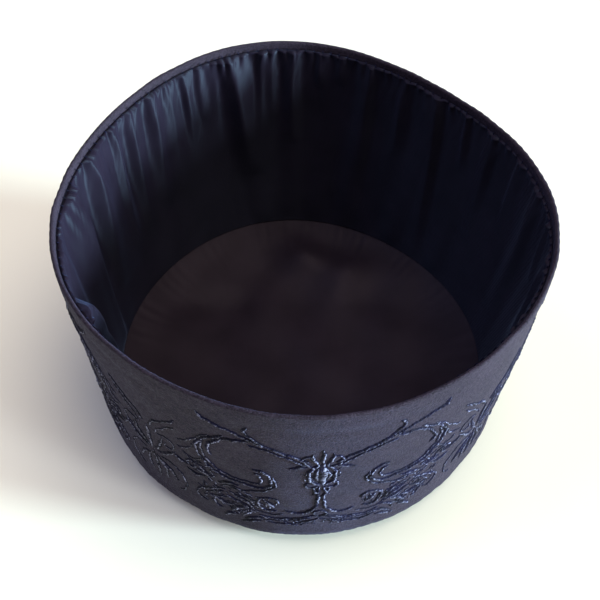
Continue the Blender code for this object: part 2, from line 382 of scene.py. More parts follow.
def makeThread():
    # twisted embroidery thread, its colour painted with light: painted shade where it goes down into the
    # cloth, a painted highlight along each stitch's top and on its side towards the light, and painted glint
    # specks
    bench, look = MaterialBench("embroidery_thread"), threadLook
    laid = bench.group(weaveGroup, bench.cut(), Pitch_mm=look["twistPitch"], Slant=0.5, Unevenness=0.6)
    specks = bench.group(mottleGroup, bench.place(), Patch_size_mm=1.1)
    mottle = bench.group(mottleGroup, bench.place(), Patch_size_mm=6.0)
    split = bench.tree.nodes.new("ShaderNodeSeparateXYZ")
    bench.tree.links.new(bench.cut("relief"), split.inputs[0])
    paintedLitShare = mathNode(bench.tree, "MULTIPLY", split.outputs["X"], split.outputs["Y"])
    # painted glints: specks of noise, only where the thread is painted lit
    paintedGlints = mathNode(bench.tree, "MULTIPLY_ADD", specks["Patches"], *look["breakUp"], clamp=True)
    tone = mathNode(bench.tree, "MULTIPLY", paintedLitShare, paintedGlints)
    # painted light: dark for painted shade, light for painted glints
    shade = bench.ramp(tone, (0.05, look["dark"]), (0.28, look["middle"]), (0.80, look["light"]))
    patches = bench.ramp(mottle["Patches"], (0.35, (0.35,) * 3), (0.65, (1.0,) * 3))
    bench.feed(bench.multiply(shade, patches), "Base Color")
    bench.feed(bench.ramp(tone, (0.1, (0.62,) * 3), (0.6, (0.30,) * 3)), "Roughness")
    rough = bench.bump(specks["Patches"], 0.7, 0.8)
    bench.feed(bench.bump(laid["Height"], 0.10, 0.9, rough), "Normal")
    bench.set(Specular_IOR_Level=look["specular"])
    return bench.material


satinLook = {
    "dark": (0.0076, 0.0055, 0.0104), "light": (0.0112, 0.0085, 0.0156),
    "roughness": (0.46, 0.56), "twillPitch": 0.85, "twillDepth": 0.08,
    "specular": 0.112, "specularTint": (0.58, 0.81, 1.0), "anisotropic": 0.95,
    "sheen": 0.12, "sheenTint": (0.34, 0.52, 0.95),
}
roundSatinLook = {
    "dark": (0.0064, 0.0041, 0.0068), "light": (0.0098, 0.0065, 0.0103),
    "roughness": (0.50, 0.62), "twillPitch": 0.55, "twillDepth": 0.035,
    "specular": 0.12, "specularTint": (1.0, 0.85, 0.95), "anisotropic": 0.0,
    "sheen": 0.02, "sheenTint": (0.8, 0.6, 0.8),
}


def makeSatin(name, look):
    # close satin: a faint slanting twill under a smooth glossy face, duller along some of its threads;
    # where it is anisotropic, the gloss is stretched, and the cloth's own coordinates say which way
    bench = MaterialBench(name)
    twill = bench.group(weaveGroup, bench.cut(), Pitch_mm=look["twillPitch"], Slant=0.7, Unevenness=0.25)
    mottle = bench.group(mottleGroup, bench.place(), Patch_size_mm=14.0)
    bench.feed(bench.ramp(mottle["Patches"], (0.32, look["dark"]), (0.72, look["light"])), "Base Color")
    low, high = look["roughness"]
    bench.feed(bench.ramp(twill["Streaks"], (0.35, (low,) * 3), (0.65, (high,) * 3)), "Roughness")
    soft = bench.bump(mottle["Grain"], 0.05, 0.2)
    bench.feed(bench.bump(twill["Height"], look["twillDepth"], 0.5, soft), "Normal")
    bench.set(Sheen_Weight=look["sheen"], Sheen_Roughness=0.3, Sheen_Tint=(*look["sheenTint"], 1),
              Specular_IOR_Level=look["specular"], Specular_Tint=(*look["specularTint"], 1),
              Anisotropic=look["anisotropic"], Anisotropic_Rotation=0.25)
    if look["anisotropic"]:
        tangent = bench.tree.nodes.new("ShaderNodeTangent")
        tangent.direction_type, tangent.uv_map = "UV_MAP", "cut"
        bench.feed(tangent.outputs[0], "Tangent")
    return bench.material


outerCloth, thread = makeOuterCloth(), makeThread()
sideSatin = makeSatin("side_satin", satinLook)
roundSatin = makeSatin("round_satin", roundSatinLook)
print("materials made")

# Outer cloth: the side with its turned hem, and the round crown

bandForm = {
    "columns": 720,
    "swell": 0.30, "wobble": 0.10,       # slow and quick unevenness of the side, in mm
    "swellMiddle": 45,                   # the height about which it is greatest
    "hemGroove": 0.42,                   # where the turned hem ends inside, the cloth is drawn in a little
    "grooveBelowHem": 2.0, "grooveWidth": 1.8,
    "ridge": (0.6, 4.5, 2.4),            # over the groove: its share, how far up it is, and its width
    "rimTicks": 0.07, "ticksAround": (117, 145), "tickReach": 5.0,     # small dents at the rim
    "seamGathers": 0.28, "seamReach": 5.0,
}


def faceRelief(angle, up):
    # how far the outer face stands proud of the plan, apart from the rim's and the seam's own gathers
    fade = np.exp(-((up - bandForm["swellMiddle"]) / bandForm["swellMiddle"]) ** 4)
    slow = bandForm["swell"] * ripple(angle, up, 11, (3, 9), 5) * fade
    bottom = capShape["height"] - sewing["hemDepth"] - bandForm["grooveBelowHem"]
    share, over, width = bandForm["ridge"]
    ridge = share * np.exp(-((up - bottom - over) / width) ** 2)
    groove = np.exp(-((up - bottom) / bandForm["grooveWidth"]) ** 2) - ridge
    held = bandForm["hemGroove"] * groove * np.clip(0.6 + 0.5 * ripple(angle, 0, 15, (1, 5), 4), 0, 1)
    return slow - held + bandForm["wobble"] * ripple(angle, up, 12, (14, 40), 7)


def makeBand():
    # one closed profile, from the crown seam up the side, over the rim, down the hem and back inside,
    # carried round the cap and pushed out and in by ripples
    corner, height = capShape["cornerRadius"], capShape["height"]
    seam = sewing["crownSeamAngle"] - sewing["crownSeamGap"] / 2 / corner
    lip, wall = sewing["hemWall"] / 2, sewing["bandWall"]
    roll = np.linspace(-np.pi / 2, np.pi / 2, 6)[1:-1]
    over = np.linspace(0, np.pi, 12)
    inner = corner - wall
    seamOut = cornerArc(corner, seam, seam, 1)[0]
    seamIn = cornerArc(inner, seam, seam, 1)[0]
    middle, reach = (seamOut + seamIn) / 2, np.linalg.norm(seamOut - seamIn) / 2
    outward = (seamOut - seamIn) / np.linalg.norm(seamOut - seamIn)
    ahead = np.array([outward[1], -outward[0]])
    seamEdge = middle + reach * (np.sin(roll)[:, None] * outward + 0.35 * np.cos(roll)[:, None] * ahead)
    outside = np.concatenate([
        seamEdge,
        cornerArc(corner, seam, 0.0, 14),
        np.stack([np.zeros(52), np.linspace(corner, height - lip, 53)[1:]], -1)[:-1],
        np.stack([lip - lip * np.cos(over), height - lip + lip * np.sin(over)], -1),
    ])
    hemFoot = height - sewing["hemDepth"]
    inside = np.concatenate([
        np.stack([np.full(6, sewing["hemWall"]), spread(height - lip, hemFoot, 6)], -1)[1:],
        [(sewing["hemWall"], hemFoot), (wall, hemFoot - sewing["hemStep"])],
        np.stack([np.full(5, wall), np.linspace(hemFoot - 12, corner + 4, 5)], -1),
        cornerArc(inner, 0.0, seam, 5),
    ])
    profile = np.concatenate([outside, inside])
    outsideRows = len(outside)
    angle = evenRound(bandForm["columns"])[None, :]
    inset, up = profile[:, :1], profile[:, 1:]
    below = np.maximum(height - up, 0)
    ticks = bandForm["rimTicks"] * ripple(angle, up, 13, bandForm["ticksAround"], 4)
    ticks = ticks * np.exp(-below / bandForm["tickReach"])
    seamRun = np.abs(up - seamOut[1])
    gathered = bandForm["seamGathers"] * ripple(angle, up, 14, sewing["gathersAround"], 4)
    gathered = gathered * np.exp(-seamRun / bandForm["seamReach"]) * (1 - np.exp(-seamRun / 1.2))
    onOutside = (np.arange(len(profile)) < outsideRows)[:, None]
    push = np.where(onOutside, faceRelief(angle, up) + gathered, 0.0) + ticks * np.where(onOutside, 1.0, 0.5)
    points = wallPoint(angle, inset - push, up)
    points[..., 2] += 0.35 * ticks * np.exp(-below / 1.5)
    faces, spots = roundGrid(len(profile), bandForm["columns"], closeRows=True)
    uv = aroundUv(spots, angle[0], lengthAlong(profile))
    return addMesh("side_cloth", points.reshape(-1, 3), faces, outerCloth, uv)


crownForm = {"columns": 400, "seamGathers": 0.20, "seamReach": 3.0}


def makeCrown():
    # a closed disc: flat underneath where it lies, its edge turned up to the seam and rolled in
    corner, wall = capShape["cornerRadius"], sewing["crownWall"]
    seam = sewing["crownSeamAngle"] + sewing["crownSeamGap"] / 2 / corner
    under, over = cornerArc(corner, np.pi / 2, seam, 12), cornerArc(corner - wall, seam, np.pi / 2, 6)
    middle = (under[-1] + over[0]) / 2 + np.array([-0.25, 0.3])
    edge = np.concatenate([under, [middle], over])
    columns = crownForm["columns"]
    angle = evenRound(columns)[None, :]
    rim = wallPoint(angle, edge[:, :1], edge[:, 1:])
    run = lengthAlong(edge)[:, None]
    held = np.where(edge[:, 1:] > 0.05, 1.0, 0.0) * crownForm["seamGathers"]      # none where it lies flat
    gathered = held * ripple(angle, run, 21, sewing["gathersAround"], 4)
    rim[..., 2] += gathered * np.exp(-np.abs(run - run[len(under)]) / crownForm["seamReach"])
    inwardShares = np.linspace(0.02, 0.97, 20)[:, None, None]
    bottom = rim[:1] * inwardShares
    top = rim[-1:] * inwardShares[::-1]
    top[..., 2] = wall
    points = np.concatenate([bottom, rim, top]).reshape(-1, 3)
    rows = len(bottom) + len(rim) + len(top)
    faces, spots = roundGrid(rows, columns)
    centres = np.array([[0, 0, 0], [0, 0, wall]])
    first, last = len(points), len(points) + 1
    c = np.arange(columns)
    beside = (c + 1) % columns
    lastRow = (rows - 1) * columns
    lowFan = np.stack([np.full(columns, first), beside, c], -1)
    highFan = np.stack([np.full(columns, last), lastRow + c, lastRow + beside], -1)
    allPoints = np.concatenate([points, centres])
    triangles = triangulate(faces, lowFan, highFan)
    uv = allPoints[triangles][..., :2] * mm
    return addMesh("crown_cloth", allPoints, triangles, outerCloth, uv)


sideCloth = makeBand()
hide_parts("side_band")
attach(sideCloth, "root")
crownCloth = makeCrown()
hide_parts("crown")
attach(crownCloth, "root")
print("outer cloth made")

# Embroidery on the outer cloth

# each stroke is drawn on the flat cloth: millimetres along from the middle of a repeat, and height.
# The half's strokes are drawn again in the mirror beyond the middle, and the palmette's beyond its own.
# A number after the points is a leaf's own width, as drawn.
needlework = {
    "repeats": 4, "repeatLength": 139.0, "firstMiddle": 7.5, "palmetteAt": 69.5,
    "sunk": 0.25, "step": 0.35, "leafGrowth": 1.1,      # leaves are worked wider than they are drawn
    "wander": ((0.16, 0.55), (0.22, 1.3)),      # a line's small sideways waves: reach and length
}
# width, lift off the cloth, length of a bead between two ties, and how far from its end a stroke narrows
strokeKinds = {
    "cord": {"width": 2.10, "lift": 0.80, "bead": 1.4, "taper": 1.8},
    "line": {"width": 1.65, "lift": 0.64, "bead": 1.1, "taper": 1.4},
    "fine": {"width": 1.25, "lift": 0.48, "bead": 0.9, "taper": 1.2},
    "leaf": {"width": 2.70, "lift": 0.70, "bead": 0.9, "taper": 0.0},
    "seed": {"width": 0.95, "lift": 0.42, "bead": 2.4, "taper": 0.6},
}
middleStrokes = [
    ("leaf", [(0, 52), (0.1, 60), (0, 69)], 5.0),
    ("leaf", [(0, 67.5), (0.2, 73), (0, 79.5)], 2.0),
    ("line", [(-2.8, 29.2), (-1.4, 31.0), (1.0, 31.2), (2.9, 29.4), (1.4, 27.4), (-1.2, 27.2), (-2.8, 29.2)]),
]
halfStrokes = [
    ("cord", [(4.5, 69.5), (6, 71), (11, 74.5), (18, 78), (24, 81), (30, 84), (37, 87), (41.5, 89),
              (43.5, 92)]),
    ("cord", [(15, 76), (21, 80), (25, 84), (27, 88), (25.5, 90.5)]),
    ("line", [(6, 67), (10, 71), (17, 75), (22, 77), (26, 78)]),
    ("leaf", [(5.0, 66.5), (8.5, 66.2), (12, 65)], 2.0),
    ("cord", [(40, 63.5), (41.5, 67), (41, 70), (38.5, 74), (34.5, 78), (30.5, 79.5), (25.5, 80)]),
    ("cord", [(34.5, 80), (38.5, 77), (42.5, 74), (45.5, 69), (46.5, 65), (45.5, 60), (43.5, 56), (40.5, 52),
              (34.5, 49), (28.5, 48), (22.5, 47.3), (19.5, 50), (18, 53), (19, 57), (21.5, 60.5),
              (25, 60.3)]),
    ("line", [(43.2, 71), (44.2, 66.5), (43.6, 61.5), (41.5, 57), (38.5, 53.6), (34, 51.2), (28.5, 50.2),
              (23.8, 50.6), (21.6, 53.4), (22.4, 56.8), (24.4, 58.2)]),
    ("line", [(17.5, 57), (16.6, 53), (17.5, 49.5), (20.5, 46), (25.5, 43.5), (30.5, 41.5), (34.5, 41)]),
    ("fine", [(40.5, 77.5), (44.5, 73.5), (47.5, 69.5), (50.5, 66.2), (54.5, 63.5)]),
    ("fine", [(47.6, 66), (49.5, 61.5), (52.5, 59.2), (55.5, 58.4)]),
    ("fine", [(44.5, 57), (47.5, 54.5), (51, 54.4), (53.5, 56.2)]),
    ("cord", [(15.6, 36.2), (16.6, 39.2), (19.4, 40.4), (22.6, 38.6), (24, 34.6), (22.6, 31.2),
              (19.6, 29.6), (16.4, 30.4)]),
    ("leaf", [(17.4, 32.4), (19.5, 34.8), (21.2, 37.6)], 3.2),
    ("leaf", [(40.6, 44.6), (44.8, 46.4), (48.4, 46.2)], 3.0),
    ("leaf", [(33.6, 27.6), (38.2, 27.0), (43.4, 30.0)], 2.6),
    ("leaf", [(30.6, 45.4), (35.4, 44.8), (39.6, 42.6)], 2.2),
    ("fine", [(27, 38.6), (31.5, 42.6), (36.4, 42.2), (39, 39.2)]),
    ("fine", [(14, 27.4), (18.4, 26.2), (23.4, 26.6), (26.6, 28.6)]),
    ("fine", [(29.2, 24.6), (32.4, 22.6), (35.8, 23.6), (37.4, 26.4)]),
    ("leaf", [(24.5, 30.5), (27.5, 35.5), (31.5, 39.5)], 2.2),
    ("leaf", [(25.5, 29.5), (30, 33.8), (35.5, 37.6)], 2.6),
    ("leaf", [(26, 28.4), (31.5, 30.6), (36.5, 34.2)], 2.4),
    ("line", [(37, 38.4), (41, 36.6), (44.5, 34), (48.5, 31), (50.2, 27), (48.5, 24), (45.6, 22.6)]),
    ("line", [(36.5, 32.4), (40.5, 30.4), (42.6, 26.4), (41.4, 22.8), (38.8, 21.6)]),
    ("fine", [(38, 35.6), (42, 33.4), (45.4, 29.6), (46, 26)]),
    ("leaf", [(28.6, 28), (32.6, 25.6), (36, 21.4)], 3.2),
    ("leaf", [(26, 26), (29, 23.4), (30.6, 19.4)], 2.4),
    ("line", [(0.8, 27.8), (6.5, 25.2), (12.5, 23.7), (19.5, 22.9), (24, 24)]),
    ("line", [(0, 24.8), (5.5, 21.4), (11.5, 19.2), (17.5, 18.4), (22, 19.6)]),
    ("fine", [(3, 25), (8.5, 22.9), (14.5, 21.4), (20, 20.8)]),
    ("leaf", [(21.5, 22), (26, 20.6), (30, 17.2)], 2.2),
    ("leaf", [(23, 18.6), (27.5, 17.0), (31.5, 14.8)], 2.0),
    ("leaf", [(32.5, 20.4), (36.2, 18.6), (39, 15.4)], 2.2),
    ("fine", [(40, 51.5), (42.2, 49), (40.8, 46.2), (43, 43.6), (41.8, 41)]),
    ("line", [(44.5, 45), (46.2, 49.4), (49.6, 51.4), (52.2, 49.6), (51, 46.8), (48.6, 47.2), (49, 49)]),
    ("leaf", [(51.6, 46.4), (54.6, 47.2), (58, 50)], 2.2),
    ("leaf", [(44.6, 43.4), (48.5, 42), (53, 43.4)], 2.0),
    ("line", [(1.8, 66), (5.2, 67.6), (7, 71), (6, 74), (3.8, 74.2), (3.6, 71.6)]),
    ("leaf", [(1.4, 67.6), (3, 71.6), (3.6, 76.6)], 1.8),
    ("cord", [(0.3, 52.6), (3, 54.4), (4.7, 58), (4.6, 62), (2.9, 66.2), (1.2, 68.4)]),
    ("leaf", [(0.9, 55.6), (2.4, 60), (1.4, 65)], 2.2),
    ("line", [(1, 51.4), (3.6, 50.6), (5.8, 52.2), (5.2, 54.2), (3.8, 53.6)]),
    ("cord", [(3, 50), (1.5, 46), (1.1, 42), (1.5, 37), (2.8, 33), (6, 30.2), (9.8, 29.4), (13.4, 30.8)]),
    ("leaf", [(0.6, 51), (1.4, 47.6), (3.4, 45)], 1.6),
]
palmetteStrokes = [
    ("line", [(16, 77), (10, 71), (4.5, 66.5), (1.4, 61)]),
    ("fine", [(15, 71.5), (9.5, 66), (5.4, 61.2), (3.6, 57.4)]),
    ("leaf", [(0, 43), (-0.1, 52), (0, 60)], 2.2),
    ("leaf", [(1, 43), (4.8, 49.4), (6.8, 56.6)], 2.1),
    ("leaf", [(2, 42.4), (8, 46), (12.6, 51.4)], 2.0),
    ("fine", [(5, 57.6), (9, 59), (12.4, 56.4), (11.6, 52.4), (8.2, 51.6), (7.8, 54.4)]),
    ("leaf", [(0, 41), (0.1, 31), (0, 21)], 2.1),
    ("leaf", [(1.4, 39), (4.6, 31), (4, 22.4)], 2.0),
    ("leaf", [(2.4, 37.4), (7.6, 32.4), (10, 25.6)], 2.0),
    ("fine", [(3.4, 39.6), (9.4, 39), (13.4, 34.4), (14.6, 28), (12.6, 21.6), (9.4, 19.6)]),
]


# small single stitches scattered over the leaves and scrolls low down: middle and half size of each
# patch, how many stitches, and the way they run, in degrees
seedPatches = (
    ((36, 32), (13, 12), 95, 40),
    ((45.5, 49.5), (6.5, 5.5), 26, 20),
    ((13, 20.5), (12, 2.6), 34, 8),
    ((3.4, 60), (3.4, 6), 10, 80),
    ((21, 34), (5, 5), 14, 60),
)


def seedStitches(dice):
    # each stitch is a short straight stroke, its way and length a little different from its neighbours'
    strokes = []
    for middle, half, count, way in seedPatches:
        reach, around = np.sqrt(dice.uniform(0, 1, count)), dice.uniform(0, turn, count)
        centres = np.array(middle) + np.stack([np.cos(around), np.sin(around)], -1) * reach[:, None] * half
        ways = np.radians(way) + dice.normal(0, 0.45, count)
        steps = np.stack([np.cos(ways), np.sin(ways)], -1) * dice.uniform(0.7, 1.5, count)[:, None]
        strokes += [("seed", np.array([centre - step, centre + step]))
                    for centre, step in zip(centres, steps)]
    return strokes


def strokePath(points):
    # a smooth curve through the points, each stretch a cubic of its four nearest, sampled evenly
    p = np.asarray(points, float)
    p = np.concatenate([[2 * p[0] - p[1]], p, [2 * p[-1] - p[-2]]])
    t = np.linspace(0, 1, 16, endpoint=False)[:, None]
    parts = []
    for a, b, c, d in zip(p[:-3], p[1:-2], p[2:-1], p[3:]):
        squared, cubed = (2 * a - 5 * b + 4 * c - d) * t ** 2, (3 * b - a - 3 * c + d) * t ** 3
        parts.append(0.5 * (2 * b + (c - a) * t + squared + cubed))
    curve = np.concatenate(parts + [p[-2:-1]])
    run = lengthAlong(curve)
    even = np.linspace(0, run[-1], max(6, round(run[-1] / needlework["step"])))
    return np.stack([np.interp(even, run, curve[:, 0]), np.interp(even, run, curve[:, 1])], -1), even


# across a stroke, from edge to edge: where the thread pulls into the cloth, then the raised middle;
# each row is the offset and the height, as shares
strokeSection = np.array([(-1.0, -0.35), (-0.95, 0.06), (-0.70, 0.12), (-0.50, 0.68), (0, 1.0),
                          (0.50, 0.68), (0.70, 0.12), (0.95, 0.06), (1.0, -0.35)])
# the side the light comes from, right and down the cloth: each stroke's middle lies over towards it, and its
# flank there is painted lighter
litSide = np.array((0.72, -0.69))    # the side towards which the thread lies over, right and down the cloth


def strokeMesh(kind, points, dice, width=None):
    # a low dome carried along the path: a leaf swells and closes like a blade of grass, and a cord is
    # pinched at each stitch that ties it down, no two beads alike; the middle lies over towards the light's
    # side.
    # It also returns the thread's painted light: painted shade down the flanks, lighter on the flank towards
    # the light and on each bead's top
    form = strokeKinds[kind]
    path, run = strokePath(points)
    width = width * needlework["leafGrowth"] if width else form["width"]
    share = run / run[-1]
    bead = run / form["bead"] + dice.uniform(0, 1)
    pinch = np.abs(np.sin(np.pi * bead)) ** 0.7
    beadSize = dice.uniform(0.35, 1.0, int(bead[-1]) + 2)[bead.astype(int)]
    if kind == "leaf":
        size = np.sin(np.pi * np.clip(share * 0.94 + 0.04, 0, 1)) ** 0.75
        lift = form["lift"] * size ** 0.6 * (0.70 + 0.30 * pinch * beadSize)
    else:
        ends = np.minimum(1, np.minimum(run, run[-1] - run) / form["taper"] + 0.12)
        size = ends ** 0.6 * (0.70 + 0.30 * pinch * (0.5 + 0.5 * beadSize))
        lift = form["lift"] * ends ** 0.5 * (0.40 + 0.60 * pinch * beadSize)
    tangent = np.gradient(path, axis=0)
    tangent /= np.linalg.norm(tangent, axis=1, keepdims=True)
    across = np.stack([-tangent[:, 1], tangent[:, 0]], -1)
    facing = (across @ litSide)[:, None]
    wander = sum(sway * np.sin(run / length + dice.uniform(0, turn)) for sway, length in needlework["wander"])
    middleness = np.clip(strokeSection[None, :, 1], 0, 1)
    offsets = strokeSection[None, :, 0] * (width / 2 * size)[:, None] + wander[:, None]
    offsets = offsets + 0.13 * width * facing * middleness ** 0.5
    spots = path[:, None, :] + across[:, None, :] * offsets[..., None]
    heights = strokeSection[None, :, 1] * lift[:, None] - needlework["sunk"] * (strokeSection[None, :, 1] < 0)
    uv = np.stack([np.broadcast_to(run[:, None], offsets.shape), offsets], -1)
    # painted light: the flank towards the light is painted lighter, the far flank darker
    paintedSideLight = np.clip(0.62 + 1.1 * facing * strokeSection[None, :, 0], 0, 1)
    # painted shade down the flanks, where the thread goes into the cloth
    paintedLightAcross = np.clip((strokeSection[None, :, 1] - 0.12) / 0.5, 0, 1) * paintedSideLight
    # a painted highlight on each bead's top
    paintedBeadTops = np.broadcast_to((0.40 + 0.60 * pinch * beadSize)[:, None], offsets.shape)
    return spots, heights, uv, np.stack([paintedLightAcross, paintedBeadTops], -1)


def makeEmbroidery(name, middle):
    # all the strokes of one repeat laid on the cloth's outer face as closed domes with fans at their ends
    strokes = [(kind, np.array(path), width) for kind, path, *width in middleStrokes]
    for source, axis in ((halfStrokes, 0.0), (palmetteStrokes, needlework["palmetteAt"])):
        for kind, path, *width in source:
            for side in (1, -1):
                strokes.append((kind, np.array(path) * (side, 1) + (axis, 0), width))
    sides = len(strokeSection)
    dice = np.random.default_rng(round(middle))
    for side in (1, -1):
        strokes += [(kind, path * (side, 1), []) for kind, path in seedStitches(dice)]
    allPoints, allFaces, allUv, allPaintedLight, start = [], [], [], [], 0
    for kind, path, width in strokes:
        spots, heights, uv, relief = strokeMesh(kind, path, dice, *width)
        rows = len(spots)
        angle = frontAngle + (middle + spots[..., 0]) / capShape["arcPerRadian"]
        face = wallPoint(angle, -faceRelief(angle, spots[..., 1]) - heights, spots[..., 1])
        triangles = tubeFaces(rows, sides)
        allPoints.append(face.reshape(-1, 3))
        allUv.append(uv.reshape(-1, 2)[triangles] * mm)
        allPaintedLight.append(relief.reshape(-1, 2)[triangles])
        allFaces.append(triangles + start)
        start += rows * sides
    parts = [np.concatenate(part) for part in (allPoints, allFaces, allUv, allPaintedLight)]
    return addMesh(name, parts[0], parts[1], thread, parts[2], parts[3])


for repeat in range(needlework["repeats"]):
    middle = needlework["firstMiddle"] + repeat * needlework["repeatLength"]
    piece = makeEmbroidery(f"embroidery_{repeat + 1}", middle)
    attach(piece, "root")
print("embroidery made")

# Satin lining

satinForm = {
    "columns": 1120, "rows": 60,
    "gather": 0.34, "gatherReach": 9.0,    # fine gathers at the stitches, in mm
    "drag": 0.28,                          # loose unevenness further down
    "puff": 1.2, "puffReach": 2.4,         # small bulges between the stitches
    "standOff": 0.40,                      # how far inside the hem's face the top edge lies
    "startShare": 0.42, "startReach": 9.0,         # a fold's depth at the stitches, and where it is full
    "crestRound": (0.05, 0.2236), "footTurn": 9.0,     # how a fold's crest is rounded, and its foot
}
# the turned top edge, from behind it and over: inset from where it lies, height from the top, the shares
# of a puff that its inset and its height take, and how much it follows a fold's depth and lean
edgeRows = np.array([
    (-0.25, -1.60, 0.00, 0.00, 0.0, 0.0),
    (-0.25, -0.60, 0.00, 0.00, 0.0, 0.0),
    (-0.05, -0.10, 0.10, 0.20, 0.3, 0.2),
    (0.30, 0.00, 0.35, 0.45, 0.7, 0.6),
    (0.60, -0.15, 0.60, 0.40, 1.0, 0.9),
])
# the foot, as it turns in to the seam: share of the way to the seam's inset, and height over the seam
footRows = np.array([(0.22, 3.4), (0.5, 1.9), (0.8, 0.7), (1.0, 0.0)])

# each fold: angle at the stitches, half width on its far side (larger angles) and its near side, depth,
# length down the wall, how far its foot wanders, and how far its crest leans over the far side
foldTerms = ("angle", "far", "near", "depth", "drop", "wander", "lean")
seenFolds = [dict(zip(foldTerms, row)) for row in (
    (79.3, 1.8, 2.2, 1.6, 14, 0.0, 0.0),
    (84.5, 1.8, 2.6, 2.2, 18, 0.4, 0.1),
    (91.6, 4.6, 2.8, 4.4, 46, 1.0, 0.1),
    (97.5, 2.2, 2.4, 2.0, 34, 0.5, 0.1),
    (100.4, 2.4, 5.2, 3.4, 44, 1.0, 0.1),
    (109.8, 6.0, 8.4, 7.6, 60, -6.5, 0.1),
    (113.6, 6.0, 4.6, 2.2, 46, 1.0, 0.0),
    (118.2, 2.0, 2.6, 1.9, 26, 0.5, 0.1),
    (122.6, 2.0, 3.4, 2.4, 36, -0.8, 0.1),
    (127.4, 4.6, 4.6, 2.2, 54, 1.0, 0.0),
    (133.6, 4.8, 6.4, 4.4, 58, 2.0, 0.1),
    (141.5, 3.4, 6.4, 3.2, 64, 2.4, 0.15),
    (148.6, 3.2, 3.0, 2.6, 62, 2.6, -0.1),
    (160.5, 4.2, 15.0, 5.6, 70, 3.0, -0.1),
    (173.0, 13.5, 4.2, 7.4, 96, 4.0, -0.12),
    (192.5, 6.0, 8.0, 3.4, 64, -6.0, 0.0),
    (213.0, 8.0, 6.5, 8.6, 110, -46.0, 0.0),
)]
evenFolds = {"from": 214.0, "to": 435.0, "count": 21}
frontFolds = {"middle": 270.0, "reach": 62.0, "share": 0.35}    # held flat near the rim at the front
evenSizes = [dict(zip(foldTerms[1:], row)) for row in (
    (4.6, 3.0, 2.4, 56, 2.0, 0.1),
    (1.9, 2.4, 2.0, 30, -1.0, 0.1),
    (8.5, 3.6, 3.2, 82, -3.0, -0.2),
    (2.4, 3.8, 2.2, 40, 1.5, 0.2),
)]


def allFolds():
    folds = list(seenFolds)
    for i in range(evenFolds["count"]):
        angle = evenFolds["from"] + (evenFolds["to"] - evenFolds["from"]) * (i + 0.5) / evenFolds["count"]
        folds.append({"angle": angle, **evenSizes[i % len(evenSizes)]})
    return folds


def atFront(angle):
    # one at the front of the cap, fading to nothing past its sides
    aside = np.degrees((angle - np.radians(frontFolds["middle"]) + np.pi) % turn - np.pi)
    return np.exp(-(aside / frontFolds["reach"]) ** 6)


def foldField(angle, below):
    # the folds added up, each a ridge with two straight flanks and a rounded crest and foot; it returns
    # the depth off the wall, and how far the crests lean along it
    depth, slide = 0.0, 0.0
    arc = capShape["arcPerRadian"]
    start = satinForm["startShare"]
    swell = start + (1 - start) * (1 - np.exp(-(below / satinForm["startReach"]) ** 1.3))
    swell = swell * (1 - atFront(angle) * (1 - frontFolds["share"]) * np.exp(-(below / 22.0) ** 2))
    for fold in allFolds():
        run = np.clip(below / fold["drop"], 0, 1)
        middle = np.radians(fold["angle"]) + fold["wander"] * run ** 0.6 / arc
        away = ((angle - middle + np.pi) % turn - np.pi) * arc
        width = np.where(away > 0, fold["far"], fold["near"]) * (0.9 + 0.45 * run)
        rounded = np.sqrt((away / width) ** 2 + satinForm["crestRound"][0]) - satinForm["crestRound"][1]
        bell = np.log1p(np.exp(satinForm["footTurn"] * (1 - rounded))) / satinForm["footTurn"]
        height = fold["depth"] * swell * (1 - run ** 1.6) ** 0.9 * bell
        depth = depth + height
        slide = slide + fold["lean"] * height
    return depth, slide


def foldColumns(count):
    # angles of the columns, closer together where a fold turns sharply
    fine = np.linspace(0, turn, 7201)
    arc = capShape["arcPerRadian"]
    crowd = np.full(fine.size, 1.0)
    for fold in allFolds():
        middle = np.radians(fold["angle"]) + 0.5 * fold["wander"] / arc
        away = ((fine - middle + np.pi) % turn - np.pi) * arc
        crowd += 1.4 * np.exp(-(away / (3.0 + 0.4 * abs(fold["wander"]))) ** 2)
    total = np.concatenate([[0], np.cumsum((crowd[1:] + crowd[:-1]) / 2)])
    return np.interp(np.arange(count) / count * total[-1], total, fine)


stitchCount = round(turn * capShape["arcPerRadian"] / sewing["stitchPitch"])


def stitchDrift(angle):
    # how far the stitches stray from even places round the cap, as a phase of the puffs between them
    return 0.7 * ripple(angle, 0, 31, (5, 21), 4)


